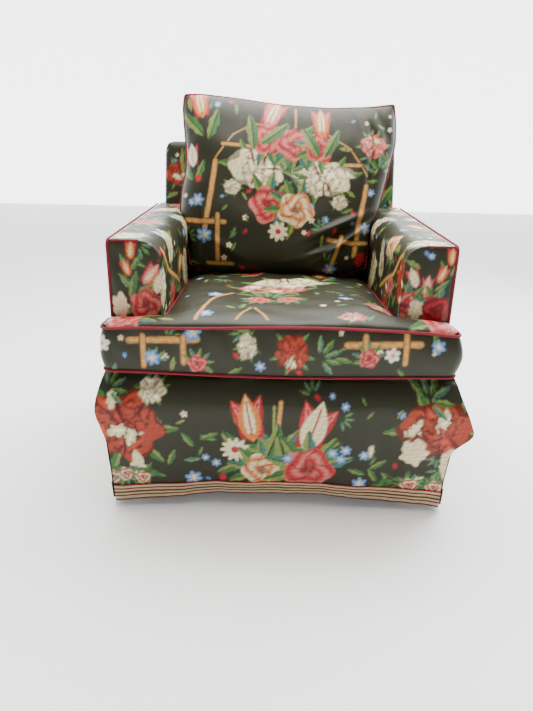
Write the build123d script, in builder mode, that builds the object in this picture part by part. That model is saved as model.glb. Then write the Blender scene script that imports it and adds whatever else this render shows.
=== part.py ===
"""Skirted club armchair with a loose T-shaped seat cushion and a loose back cushion.

Millimetres. The chair stands on Z = 0 and faces -Y. X = 0 is its middle, and
"left" is -X, the left as seen by someone who stands in front of the chair.
"""

import os
from math import cos, radians, sin, tan

from build123d import *

os.makedirs("parts", exist_ok=True)

# ---------------------------------------------------------------- driving dimensions
overall_depth = 860.76  # front skirt band to the welt at the top of the outside back
band_proud = 13.5  # the skirt band stands this far in front of the seat's front face
front_y = -overall_depth / 2 + band_proud  # front face of the seat cushion

glide_height = 6
rail_bottom = 150
rail_top = 270
deck_top = 345
wood = 28  # thickness of every frame board
cloth = 2  # thickness of an upholstery cover
clearance = 0.5

# arms
arm_inner = 276
arm_outer = 392
arm_front = front_y + 90
arm_bottom = deck_top + 2
arm_front_height = 634
arm_slope = radians(3.6)
arm_inside_round = 42
arm_outside_round = 12
arm_padding_inside = 20

# back
rake = radians(16)
back_foot = front_y + 601  # where the padded face of the back meets the deck
back_half_width = 374
back_length = 545
back_thickness = 95
back_corner_round = 32
back_edge_round = 18
back_padding_front = 24
back_padding_side = 8

# seat cushion
seat_half_width = 397.5
seat_neck_half_width = 269  # the part between the arms
seat_ear_depth = 80
seat_depth = 594
seat_bottom = deck_top + clearance
seat_boxing = 108
seat_crown = 32
seat_crown_inset = 30  # the crown's top is this much smaller all round
seat_corner_round = 26
seat_notch_round = 5  # the inner corners of the T
seat_cover = 2

# back cushion
pillow_half_width = 322
pillow_neck_half_width = 268
pillow_shoulder = 345  # height above the deck, along the rake, where it widens
pillow_top = 655
pillow_thickness = 172
pillow_gap = 12
pillow_bottom_z = 491
pillow_corner_round = 45

# skirt
skirt = 3
skirt_bottom = 15
skirt_half_width = 400
band_height = 45
band = 1.5
fold_reach = 36
fold_top = 330
fold_widest = 222
fold_bottom = 190

welt_radius = 2.5
welt_offset = 1.8  # from an edge to the welt's centre line, along both faces

wire = 1.9  # radius of the spring wire
seat_spring_bars = 19
back_spring_bars = 13
clip_wrap = 4.1  # thickness of a clip each side of the wire

# ---------------------------------------------------------------- shared geometry
BACK = Plane(origin=(0, back_foot, deck_top), x_dir=(1, 0, 0), z_dir=(0, -cos(rake), sin(rake)))
SIDES = ((-1, "left"), (1, "right"))


def back_point(length, depth):
    """(y, z) of a point that far up the padded face of the back and that far behind it."""
    return (
        back_foot + length * sin(rake) + depth * cos(rake),
        deck_top + length * cos(rake) - depth * sin(rake),
    )


def back_face_y(z, proud=0.0):
    """Y of the padded face at height z, or of a plane standing that far proud of it."""
    return back_foot + (z - deck_top) * tan(rake) - proud / cos(rake)


def arm_top(y):
    return arm_front_height + (y - arm_front) * tan(arm_slope)


def arm_line_at_back(drop, proud):
    """(y, z) where a line that far under the arm's top meets the back's face, moved by proud."""
    start = arm_top(0) - drop
    face = back_face_y(start, proud)
    y = face / (1 - tan(arm_slope) * tan(rake))
    return y, start + y * tan(arm_slope)


def write(piece, name):
    """Labels a finished piece and writes its STEP file."""
    piece.part.label = name
    export_step(piece.part, f"parts/{name}.step")


def board(x, y, z, edge=1.5):
    """A sawn board between two limits on each axis, with its edges eased."""
    with BuildPart() as piece:
        with Locations(((x[0] + x[1]) / 2, (y[0] + y[1]) / 2, (z[0] + z[1]) / 2)):
            Box(abs(x[1] - x[0]), y[1] - y[0], z[1] - z[0])
        if edge:
            chamfer(piece.edges(), edge)
    return piece


def side_board(side, inner, outer, outline):
    """A board cut to an outline in the YZ plane, between two distances from the middle."""
    with BuildPart() as piece:
        with BuildSketch(Plane.YZ.offset(side * inner)):
            with BuildLine():
                Polyline(*outline, close=True)
            make_face()
        extrude(amount=side * (outer - inner))
    return piece


# ---------------------------------------------------------------- wooden frame
post_inner, post_outer = 334, 362
post_front = back_point(0, 34)[0]
post_depth = 47
front_rail_y = (front_y + 6, front_y + 6 + wood)
back_rail_y = (post_front, post_front + wood)
leg_top, leg_foot = 52, 40
leg_x = post_outer - leg_top / 2
leg_y = front_rail_y[0] + leg_top / 2 + 16  # set back, so that the feet stay behind the hem
arm_wood_inner = arm_inner + cloth + arm_padding_inside
arm_wood_outer = 380
arm_post_y = (arm_front + 14, arm_front + 14 + wood)
arm_rail_drop = 24  # from the upholstered top down to the top rail
arm_rail_depth = 22
tack_rail_z = (372, 412)


def front_rail():
    return board((-post_outer, post_outer), front_rail_y, (rail_bottom, rail_top))


def back_rail():
    return board((-post_inner, post_inner), back_rail_y, (rail_bottom, rail_top))


def side_rail(side):
    return board(
        (side * post_inner, side * post_outer),
        (front_rail_y[1], post_front),
        (rail_bottom, rail_top),
    )


def front_leg(side):
    """A square block foot that tapers to the floor."""
    with BuildPart() as piece:
        with BuildSketch(Plane.XY.offset(rail_bottom)):
            with Locations((side * leg_x, leg_y)):
                Rectangle(leg_top, leg_top)
        with BuildSketch(Plane.XY.offset(glide_height)):
            with Locations((side * leg_x, leg_y)):
                Rectangle(leg_foot, leg_foot)
        loft(ruled=True)
        chamfer(piece.edges().filter_by(GeomType.LINE), 1.5)
    return piece


def back_post(side):
    """Back leg and back post in one board, upright to the deck and raked above it."""
    lean_front = back_point(0, 34)
    lean_rear = back_point(14, 34 + post_depth)
    outline = [
        (post_front, glide_height),
        (post_front, lean_front[1]),
        back_point(back_length - 30, 34),
        back_point(back_length - 30, 34 + post_depth),
        (post_front + post_depth, lean_rear[1]),
        (post_front + post_depth, glide_height),
    ]
    return side_board(side, post_inner, post_outer, outline)


def back_cross_rail(low, high):
    """A rail between the back posts, from low to high up the rake."""
    with BuildPart() as piece:
        with BuildSketch(BACK.offset(-34)):
            with Locations((0, (low + high) / 2)):
                Rectangle(2 * post_inner, high - low)
        extrude(amount=-wood)
        chamfer(piece.edges(), 1.5)
    return piece


top_rail_span = (back_length - 92, back_length - 30)
lower_rail_span = (40, 92)


def arm_post(side):
    """The stump at the front of the arm, standing on the side rail."""
    top = arm_top(arm_post_y[0]) - arm_rail_drop - arm_rail_depth
    return board(
        (side * arm_wood_inner, side * arm_wood_outer), arm_post_y, (rail_top, top), edge=1
    )


def arm_rail_outline(extra=0.0):
    """Side view of the arm's top rail, from the stump to the back post."""
    y0, z0 = arm_post_y[0], arm_top(arm_post_y[0]) - arm_rail_drop
    drop = arm_rail_depth / cos(arm_slope)
    return [
        (y0, z0 + extra),
        arm_line_at_back(arm_rail_drop - extra, -34 - extra),
        arm_line_at_back(arm_rail_drop + drop + extra, -34 - extra),
        (y0, z0 - drop - extra),
    ]


def arm_top_rail(side):
    """Runs the length of the arm and stops against the back post."""
    return side_board(side, post_inner - 16, post_outer, arm_rail_outline())


def tack_rail_outline(extra=0.0):
    low, high = tack_rail_z
    return [
        (arm_post_y[1], low - extra),
        (arm_post_y[1], high + extra),
        (back_face_y(high, -34) + extra, high + extra),
        (back_face_y(low, -34) + extra, low - extra),
    ]


def arm_tack_rail(side):
    """The inside arm's cover is pulled down and tacked to this rail."""
    return side_board(side, post_inner, post_outer, tack_rail_outline())


block_leg, block_height = 62, 84
block_corners = [
    (sx * post_inner, corner_y, sx, sy)
    for sx in (-1, 1)
    for corner_y, sy in ((front_rail_y[1], 1), (back_rail_y[0], -1))
]
block_screw_z = rail_bottom + 18 + block_height / 2


def screw_planes():
    """Where each screw's head sits: two for each block, one towards each rail."""
    planes = []
    for x, y, sx, sy in block_corners:
        low = (x - sx * 16, y + sy * 20, block_screw_z - 14)
        high = (x - sx * 20, y + sy * 16, block_screw_z + 14)
        planes.append(Plane(origin=low, z_dir=(sx, 0, 0)))
        planes.append(Plane(origin=high, z_dir=(0, -sy, 0)))
    return planes


def screws():
    """Eight wood screws, head and shank."""
    with BuildPart() as piece:
        for plane in screw_planes():
            with BuildSketch(plane):
                Circle(2.4)
            extrude(amount=34)
            with BuildSketch(plane):
                Circle(4.4)
            extrude(amount=3)
    return piece


def corner_blocks():
    """Four glue blocks, one in each corner of the seat frame, bored for their screws."""
    with BuildPart() as piece:
        for x, y, sx, sy in block_corners:
            with BuildSketch(Plane.XY.offset(rail_bottom + 18)):
                with BuildLine():
                    Polyline((x, y), (x - sx * block_leg, y), (x, y + sy * block_leg), close=True)
                make_face()
            extrude(amount=block_height)
        for plane in screw_planes():
            with BuildSketch(plane.offset(3)):
                Circle(4.4)
            extrude(amount=-40, mode=Mode.SUBTRACT)
        add(screws().part, mode=Mode.SUBTRACT)
    return piece


def drilled(rail):
    """A rail with the holes for the corner blocks' screws."""
    with BuildPart() as piece:
        add(rail.part)
        add(screws().part, mode=Mode.SUBTRACT)
    return piece


def glides():
    """Four nail-on glides under the legs."""
    with BuildPart() as piece:
        for side, _ in SIDES:
            rear = (side * (post_inner + post_outer) / 2, post_front + post_depth / 2)
            for x, y in ((side * leg_x, leg_y), rear):
                with Locations((x, y, glide_height / 2)):
                    Cylinder(11, glide_height)
        chamfer(piece.faces().sort_by(Axis.Z)[:4].edges(), 1)
    return piece


# ---------------------------------------------------------------- springs
def sinuous(plane, pitch, bars, half_width=24):
    """Path of a zigzag spring in a plane, its first and last bars across it."""
    points = []
    for k in range(bars):
        reach = half_width if k % 2 else -half_width
        points += [(reach, k * pitch), (-reach, k * pitch)]
    with BuildLine(plane) as path:
        FilletPolyline(*points, radius=0.47 * pitch)
    return path.line


def sinuous_spring(path):
    with BuildSketch(Plane(origin=path @ 0, z_dir=path % 0)) as section:
        Circle(wire)
    return sweep(section.sketch, path=path)


seat_spring_x = [k * 110 for k in range(-2, 3)]
seat_spring_y = ((front_rail_y[0] + front_rail_y[1]) / 2, (back_rail_y[0] + back_rail_y[1]) / 2)
seat_spring_z = rail_top + clip_wrap
back_spring_x = [k * 170 for k in range(-1, 2)]
back_spring_span = (
    (lower_rail_span[0] + lower_rail_span[1]) / 2,
    (top_rail_span[0] + top_rail_span[1]) / 2,
)
back_spring_depth = 34 - clip_wrap


def seat_springs():
    """Five sinuous springs from the front rail to the back rail."""
    pitch = (seat_spring_y[1] - seat_spring_y[0]) / (seat_spring_bars - 1)
    with BuildPart() as piece:
        for x in seat_spring_x:
            start = Plane(origin=(x, seat_spring_y[0], seat_spring_z))
            sinuous_spring(sinuous(start, pitch, seat_spring_bars))
    return piece


def back_springs():
    """Three sinuous springs up the inside of the back."""
    pitch = (back_spring_span[1] - back_spring_span[0]) / (back_spring_bars - 1)
    with BuildPart() as piece:
        for x in back_spring_x:
            start = Plane(
                origin=(x, *back_point(back_spring_span[0], back_spring_depth)),
                x_dir=(1, 0, 0),
                z_dir=BACK.z_dir,
            )
            sinuous_spring(sinuous(start, pitch, back_spring_bars))
    return piece


def spring_clips(planes):
    """A bent steel clip over the end bar of each spring, one at each plane's origin."""
    with BuildPart() as piece:
        for plane in planes:
            with BuildSketch(plane.offset(-clip_wrap)):
                Rectangle(16, 13)
            extrude(amount=2 * clip_wrap - 0.4)
        for plane in planes:
            bore = Plane(origin=plane.origin - plane.x_dir * 10, z_dir=plane.x_dir)
            with BuildSketch(bore):
                Circle(wire + 0.1)
            extrude(amount=20, mode=Mode.SUBTRACT)
    return piece


def seat_spring_clips():
    planes = [
        Plane(origin=(x, y, seat_spring_z)) for x in seat_spring_x for y in seat_spring_y
    ]
    return spring_clips(planes)


def back_spring_clips():
    planes = [
        Plane(
            origin=(x, *back_point(length, back_spring_depth)), x_dir=(1, 0, 0), z_dir=BACK.z_dir
        )
        for x in back_spring_x
        for length in back_spring_span
    ]
    return spring_clips(planes)


# ---------------------------------------------------------------- seat platform
insulator_bottom = rail_top + 9
insulator = 3
roll_bottom = insulator_bottom
roll_front = front_y - 8
deck_rear = back_foot - 8
deck_edge = arm_wood_inner - 2


def deck_outline(grow=0.0):
    """T outline of the platform: wide in front of the arms, narrow between them."""
    ear = 384 + grow
    neck = deck_edge + grow
    front = front_rail_y[1]
    shoulder = arm_front + 8
    return [
        (-ear, front),
        (ear, front),
        (ear, shoulder),
        (neck, shoulder),
        (neck, deck_rear),
        (-neck, deck_rear),
        (-neck, shoulder),
        (-ear, shoulder),
    ]


def deck_layer(bottom, thickness):
    with BuildPart() as piece:
        with BuildSketch(Plane.XY.offset(bottom)):
            with BuildLine():
                Polyline(*deck_outline(), close=True)
            make_face()
        extrude(amount=thickness)
    return piece


def seat_insulator():
    """Felt over the springs, so that the pad isn't cut by the wire."""
    return board(
        (-deck_edge, deck_edge),
        (front_rail_y[1] + 2, deck_rear),
        (insulator_bottom, insulator_bottom + insulator),
        edge=0,
    )


def deck_pad():
    return deck_layer(insulator_bottom + insulator, deck_top - cloth - insulator_bottom - insulator)


def deck_cover():
    return deck_layer(deck_top - cloth, cloth)


def front_edge_roll():
    """Foam roll on the front rail that shapes the top of the front panel."""
    with BuildPart() as piece:
        with Locations((0, (roll_front + front_rail_y[1]) / 2, (roll_bottom + deck_top - 5) / 2)):
            Box(2 * 384, front_rail_y[1] - roll_front, deck_top - 5 - roll_bottom)
        front = piece.edges().filter_by(Axis.X).sort_by(Axis.Y)[:2].sort_by(Axis.Z)[-1]
        fillet(front, 26)
        ends = piece.edges().filter_by(Axis.Z).group_by(Axis.Y)[0]
        fillet(ends, 12)
    return piece


# ---------------------------------------------------------------- arms
def arm_block(side, inset=0.0):
    """The padded arm as one solid, each face moved in by inset. Open ends stay put."""
    front = arm_front + inset
    top = arm_top(front) - inset / cos(arm_slope)
    inner, outer = side * (arm_inner + inset), side * (arm_outer - inset)
    start = Plane(origin=(0, front, 0), x_dir=(1, 0, 0), z_dir=(0, -1, 0))
    rear = Plane(origin=(0, back_face_y(0, 1), 0), z_dir=BACK.z_dir)
    with BuildPart() as piece:
        with BuildSketch(start) as section:
            with BuildLine():
                Polyline(
                    (inner, arm_bottom - 80), (inner, top), (outer, top), (outer, arm_bottom - 80), close=True
                )
            make_face()
            corners = section.vertices().group_by(Axis.Y)[-1].sort_by(lambda v: abs(v.X))
            fillet(corners[0], arm_inside_round - inset)
            outside = section.vertices().sort_by(lambda v: v.Y + side * v.X)[-1]
            fillet(outside, arm_outside_round - inset)
        extrude(amount=700, dir=(0, cos(arm_slope), sin(arm_slope)))
        split(bisect_by=Plane.XY.offset(arm_bottom), keep=Keep.TOP)
        split(bisect_by=rear, keep=Keep.TOP)
    return piece.part


def arm_cavity(side):
    """Room inside the padding for the frame."""
    y0 = arm_post_y[0]
    rear = back_face_y(arm_top(back_foot + 90), 1)
    drop = arm_rail_drop - 1
    outline = [
        (y0 - 1, arm_bottom - 1),
        (y0 - 1, arm_top(y0) - drop),
        (rear + 40, arm_top(rear + 40) - drop),
        (rear + 40, arm_bottom - 1),
    ]
    return side_board(side, arm_wood_inner - 1, arm_wood_outer + 1, outline).part


def arm_padding(side):
    """Cotton and foam over the arm frame, hollow where the frame stands."""
    with BuildPart() as piece:
        add(arm_block(side, cloth))
        add(arm_cavity(side), mode=Mode.SUBTRACT)
    return piece


def arm_cover(side):
    """The chintz cover of one arm: inside, top, front and outside panels."""
    with BuildPart() as piece:
        add(arm_block(side))
        add(arm_block(side, cloth), mode=Mode.SUBTRACT)
    return piece


def round_cord(points, radius, close=False):
    """A welt: a covered cord along straight runs with rounded corners."""
    with BuildPart() as piece:
        with BuildLine() as path:
            FilletPolyline(*points, radius=radius, close=close)
        with BuildSketch(Plane(origin=path.line @ 0, z_dir=path.line % 0)):
            Circle(welt_radius)
        sweep(path=path.line)
    return piece


def arm_welt(side):
    """Follows the outer edge of the arm's front and then its outer top edge."""
    x = side * (arm_outer + welt_offset)
    y = arm_front - welt_offset
    rear = back_face_y(arm_top(back_foot + 90), 6)
    lift = arm_outside_round * 0.15  # the welt sits on the rounded edge
    points = [
        (x, y, arm_bottom + 1),
        (x, y, arm_top(y) + welt_offset - lift),
        (x, rear, arm_top(rear) + welt_offset - lift),
    ]
    return round_cord(points, 14)


# ---------------------------------------------------------------- back
def back_block(inset=0.0):
    """The padded back as one solid, each face moved in by inset. Its foot stays put."""
    half = back_half_width - inset
    with BuildPart() as piece:
        with BuildSketch(BACK.offset(-inset)) as front:
            with Locations((0, (back_length - inset) / 2)):
                Rectangle(2 * half, back_length - inset)
            fillet(front.vertices().group_by(Axis.Y)[-1], back_corner_round - inset)
        extrude(amount=-(back_thickness - 2 * inset))
        front_face = piece.faces().sort_by(Axis(BACK.origin, BACK.z_dir))[-1]
        foot = front_face.edges().sort_by(Axis.Z)[0]
        rims = [e for e in front_face.edges() if e != foot]
        fillet(rims, back_edge_round - inset)
    return piece.part


def arm_rail_slots():
    """Where the arm rails pass through the back's cover and padding to the posts."""
    slots = []
    for side, _ in SIDES:
        for outline, inner in (
            (arm_rail_outline(0.5), post_inner - 16.5),
            (tack_rail_outline(0.5), post_inner - 0.5),
        ):
            slots.append(side_board(side, inner, post_outer + 0.5, outline).part)
    return slots


def back_padding():
    """Foam in front of the springs, wrapped thinly round the sides and rear."""
    cavity_depth = back_thickness - cloth - back_padding_side
    with BuildPart() as piece:
        add(back_block(cloth))
        with BuildSketch(BACK.offset(-(cloth + back_padding_front))):
            with Locations((0, (back_length - 28) / 2 - 20)):
                Rectangle(2 * (back_half_width - cloth - back_padding_side), back_length - 28 + 40)
        extrude(amount=-(cavity_depth - cloth - back_padding_front), mode=Mode.SUBTRACT)
        for slot in arm_rail_slots():
            add(slot, mode=Mode.SUBTRACT)
    return piece


def back_cover():
    """The chintz cover of the back: inside, sides, top and outside panels."""
    with BuildPart() as piece:
        add(back_block())
        add(back_block(cloth), mode=Mode.SUBTRACT)
        for slot in arm_rail_slots():
            add(slot, mode=Mode.SUBTRACT)
    return piece


def back_welt():
    """Follows the rear edge of the back, up one side, over the top and down the other."""
    plane = BACK.offset(-back_thickness - welt_offset)
    half = back_half_width + welt_offset
    top = back_length + welt_offset
    with BuildPart() as piece:
        with BuildLine(plane) as path:
            FilletPolyline(
                (-half, 34), (-half, top), (half, top), (half, 34), radius=back_corner_round + welt_offset
            )
        with BuildSketch(Plane(origin=path.line @ 0, z_dir=path.line % 0)):
            Circle(welt_radius)
        sweep(path=path.line)
    return piece


# ---------------------------------------------------------------- skirt
skirt_front_y = front_y - 12
skirt_side_x = skirt_half_width + 2
skirt_back_y = back_point(26, back_thickness)[0] + 3


def skirt_front():
    """Waterfall front: from the deck, over the edge roll and down to the hem."""
    outline = [
        (front_rail_y[1] - skirt / 2, deck_top - skirt / 2),
        (skirt_front_y + skirt / 2, deck_top - skirt / 2),
        (skirt_front_y + skirt / 2, skirt_bottom + skirt / 2),
    ]
    with BuildPart() as piece:
        with BuildSketch(Plane.YZ) as profile:
            with BuildLine():
                FilletPolyline(*outline, radius=30)
                offset(amount=skirt / 2, side=Side.BOTH)
            make_face()
        extrude(amount=skirt_half_width, both=True)
    return piece


def skirt_side(side):
    """Side skirt, from under the outside arm down to the hem."""
    return board(
        (side * skirt_side_x, side * (skirt_side_x + skirt)),
        (skirt_front_y + skirt + 1, skirt_back_y - 1),
        (skirt_bottom, arm_bottom),
        edge=0,
    )


def skirt_back():
    return board(
        (-skirt_half_width, skirt_half_width),
        (skirt_back_y, skirt_back_y + skirt),
        (skirt_bottom, deck_top - 4),
        edge=0,
    )


def band_strip(x, y):
    """A length of the striped hem band."""
    return board(x, y, (skirt_bottom, skirt_bottom + band_height), edge=0)


def skirt_headers():
    """Padded strips between each outside arm and the top of its side skirt."""
    rear = back_face_y(deck_top, 2)
    with BuildPart() as piece:
        for side, _ in SIDES:
            x = (side * (arm_outer + 0.2), side * (skirt_side_x - 0.2))
            add(board(x, (arm_front + 6, rear), (deck_top - 26, arm_bottom), edge=0).part)
    return piece


def pleat_inserts():
    """Folded inserts behind the four slit corners of the skirt."""
    reach, thick = 55, 2.5
    outer_x = skirt_half_width - 3
    with BuildPart() as piece:
        for side, _ in SIDES:
            for y, turn in ((skirt_front_y + skirt + 3, 1), (skirt_back_y - 3, -1)):
                with BuildSketch(Plane.XY.offset(skirt_bottom + 6)):
                    with BuildLine():
                        Polyline(
                            (side * outer_x, y),
                            (side * (outer_x - reach), y),
                            (side * (outer_x - reach), y + turn * thick),
                            (side * (outer_x - thick), y + turn * thick),
                            (side * (outer_x - thick), y + turn * reach),
                            (side * outer_x, y + turn * reach),
                            close=True,
                        )
                    make_face()
                extrude(amount=240)
    return piece


fold_stations = ((fold_top, 0.12, 12), (fold_widest, 1, 70), (fold_bottom, 0.25, 30))


def corner_folds():
    """Loose folds of the cover, which stand out at the front corners of the skirt."""
    y = skirt_front_y + 20
    with BuildPart() as piece:
        for side, _ in SIDES:
            x = side * (skirt_side_x + skirt + 0.3)
            for pair in (fold_stations[:2], fold_stations[1:]):
                for z, share, run in pair:
                    with BuildSketch(Plane.XY.offset(z)):
                        with BuildLine():
                            tip = (x + side * share * fold_reach, y)
                            Polyline((x, y - 19), tip, (x, y + run), close=True)
                        make_face()
                loft(ruled=True)
    return piece


def dust_cover():
    """Black cambric stapled under the frame, cut away at the legs and posts."""
    z = rail_bottom - 1
    cut = leg_top + 4
    with BuildPart() as piece:
        with BuildSketch(Plane.XY.offset(z)):
            mid = (front_rail_y[0] + back_rail_y[1]) / 2
            length = back_rail_y[1] - front_rail_y[0]
            with Locations((0, mid)):
                Rectangle(2 * post_outer, length)
            with Locations(*[(s * (post_outer - cut / 2), leg_y - 2) for s, _ in SIDES]):
                Rectangle(cut + 8, cut + 8, mode=Mode.SUBTRACT)
            with Locations(*[(s * (post_outer - 12), back_rail_y[1] - 12) for s, _ in SIDES]):
                Rectangle(cut + 8, cut + 8, mode=Mode.SUBTRACT)
        extrude(amount=1)
    return piece


def dust_cover_staples():
    """Staples through the dust cover, along the front and back rails."""
    with BuildPart() as piece:
        for y in (sum(front_rail_y) / 2, sum(back_rail_y) / 2):
            with Locations(*[(x, y, rail_bottom - 1.5) for x in range(-240, 241, 80)]):
                Box(12, 1.2, 1)
    return piece


# ---------------------------------------------------------------- seat cushion
seat_rear = front_y + seat_depth


def seat_outline(inset=0.0):
    ear = seat_half_width - inset
    neck = seat_neck_half_width - inset
    front = front_y + inset
    shoulder = front_y + seat_ear_depth - inset
    rear = front_y + seat_depth - inset
    return [
        (-ear, front),
        (ear, front),
        (ear, shoulder),
        (neck, shoulder),
        (neck, rear),
        (-neck, rear),
        (-neck, shoulder),
        (-ear, shoulder),
    ]


def seat_section(z, inset, radius):
    """T section with round outer corners and tight inner ones."""
    with BuildSketch(Plane.XY.offset(z)) as outline:
        with BuildLine():
            Polyline(*seat_outline(inset), close=True)
        make_face()
        corners = outline.vertices()
        inner = [v for v in corners if front_y < v.Y < seat_rear - 100 and abs(v.X) < 300]
        fillet(inner, seat_notch_round)
        outer = [v for v in outline.vertices() if v.Y > seat_rear - 60 or abs(v.X) > 330]
        fillet(outer, radius)
    return outline.sketch


def seat_block(inset=0.0):
    """T-shaped cushion with an upright boxing and a gentle crown."""
    bottom = seat_bottom + inset
    edge = seat_bottom + seat_boxing - inset * 0.5
    with BuildPart() as piece:
        extrude(seat_section(bottom, inset, seat_corner_round - inset), amount=edge - bottom)
        crown_foot = seat_section(edge, inset, seat_corner_round - inset)
        crown_top = seat_section(edge + seat_crown - inset * 0.5, inset + seat_crown_inset, 5)
        loft([crown_foot, crown_top], ruled=True)
    return piece.part


def seat_core():
    """Foam core, as large as the inside of its cover."""
    with BuildPart() as piece:
        add(seat_block(seat_cover))
    return piece


def seat_cushion_cover():
    """Chintz cover of the seat cushion, round the core."""
    with BuildPart() as piece:
        add(seat_block())
        add(seat_block(seat_cover), mode=Mode.SUBTRACT)
    return piece


def seat_welt(z):
    """Welt round the whole T outline at the given height."""
    out = welt_radius + 0.2
    outline = seat_section(z, -out, seat_corner_round + out)
    path = outline.faces()[0].outer_wire()
    with BuildPart() as piece:
        with BuildSketch(Plane(origin=path @ 0, z_dir=path % 0)):
            Circle(welt_radius)
        sweep(path=path)
    return piece


zip_half = 170
zip_z = seat_bottom + 54


def zipper_tape(plane):
    """Woven tape with the closed row of teeth along its middle."""
    with BuildPart() as piece:
        with BuildSketch(plane):
            Rectangle(2 * zip_half + 40, 26)
        extrude(amount=1)
        with BuildSketch(plane.offset(1)):
            Rectangle(2 * zip_half + 20, 5)
        extrude(amount=1.2)
    return piece


def zip_slider(plane):
    """Slider body over the teeth, with its pull lying flat."""
    with BuildPart() as piece:
        with BuildSketch(plane.offset(2.6)):
            RectangleRounded(12, 9, 3)
        extrude(amount=2.4)
        with BuildSketch(plane.offset(5)):
            Rectangle(7, 2.5)
        extrude(amount=0.8)
        with BuildSketch(plane.offset(4.6)):
            with Locations((14, 0)):
                RectangleRounded(26, 6, 2.5)
            with Locations((23, 0)):
                Circle(1.6, mode=Mode.SUBTRACT)
        extrude(amount=1.2)
    return piece


SEAT_ZIP = Plane(origin=(0, seat_rear, zip_z), x_dir=(1, 0, 0), z_dir=(0, 1, 0))
SEAT_ZIP_START = Plane(origin=(-zip_half, seat_rear, zip_z), x_dir=(1, 0, 0), z_dir=(0, 1, 0))


# ---------------------------------------------------------------- back cushion
PILLOW = BACK.offset(pillow_gap)


def pillow_block(inset=0.0):
    """Leaning cushion: narrow between the arms, wider above them, cut flat below."""
    half, neck = pillow_half_width - inset, pillow_neck_half_width - inset
    top = pillow_top - inset
    outline = [
        (-neck, 60),
        (neck, 60),
        (neck, pillow_shoulder),
        (half, pillow_shoulder + 60),
        (half, top),
        (-half, top),
        (-half, pillow_shoulder + 60),
        (-neck, pillow_shoulder),
    ]
    base = Plane.XY.offset(pillow_bottom_z + inset)
    with BuildPart() as piece:
        with BuildSketch(PILLOW.offset(inset)) as face:
            with BuildLine():
                Polyline(*outline, close=True)
            make_face()
            fillet(face.vertices().filter_by(lambda v: v.Y > 61), pillow_corner_round - inset)
        extrude(amount=pillow_thickness - 2 * inset)
        split(bisect_by=base, keep=Keep.TOP)
    return piece.part


def pillow_core():
    """Fibre filling, as large as the inside of its cover."""
    with BuildPart() as piece:
        add(pillow_block(cloth))
    return piece


def pillow_cover():
    """Chintz cover of the back cushion, round the filling."""
    with BuildPart() as piece:
        add(pillow_block())
        add(pillow_block(cloth), mode=Mode.SUBTRACT)
    return piece


def pillow_welt():
    """Knife-edge welt round the top and sides of the back cushion."""
    out = welt_radius + 0.3
    plane = PILLOW.offset(pillow_thickness / 2)
    half, neck = pillow_half_width + out, pillow_neck_half_width + out
    top = pillow_top + out
    low = (pillow_bottom_z - deck_top) / cos(rake) - 14
    with BuildPart() as piece:
        with BuildLine(plane) as path:
            FilletPolyline(
                (-neck, low),
                (-neck, pillow_shoulder - 1),
                (-half, pillow_shoulder + 59),
                (-half, top),
                (half, top),
                (half, pillow_shoulder + 59),
                (neck, pillow_shoulder - 1),
                (neck, low),
                radius=pillow_corner_round + out,
            )
        with BuildSketch(Plane(origin=path.line @ 0, z_dir=path.line % 0)):
            Circle(welt_radius)
        sweep(path=path.line)
        split(bisect_by=Plane.XY.offset(pillow_bottom_z), keep=Keep.TOP)
    return piece


pillow_zip_length = 260  # how far up the rake the zip runs across the rear face
PILLOW_ZIP = Plane(
    origin=(0, *back_point(pillow_zip_length, -pillow_gap)), x_dir=(1, 0, 0), z_dir=-BACK.z_dir
)
PILLOW_ZIP_START = Plane(
    origin=(-zip_half, *back_point(pillow_zip_length, -pillow_gap)),
    x_dir=(1, 0, 0),
    z_dir=-BACK.z_dir,
)


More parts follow.
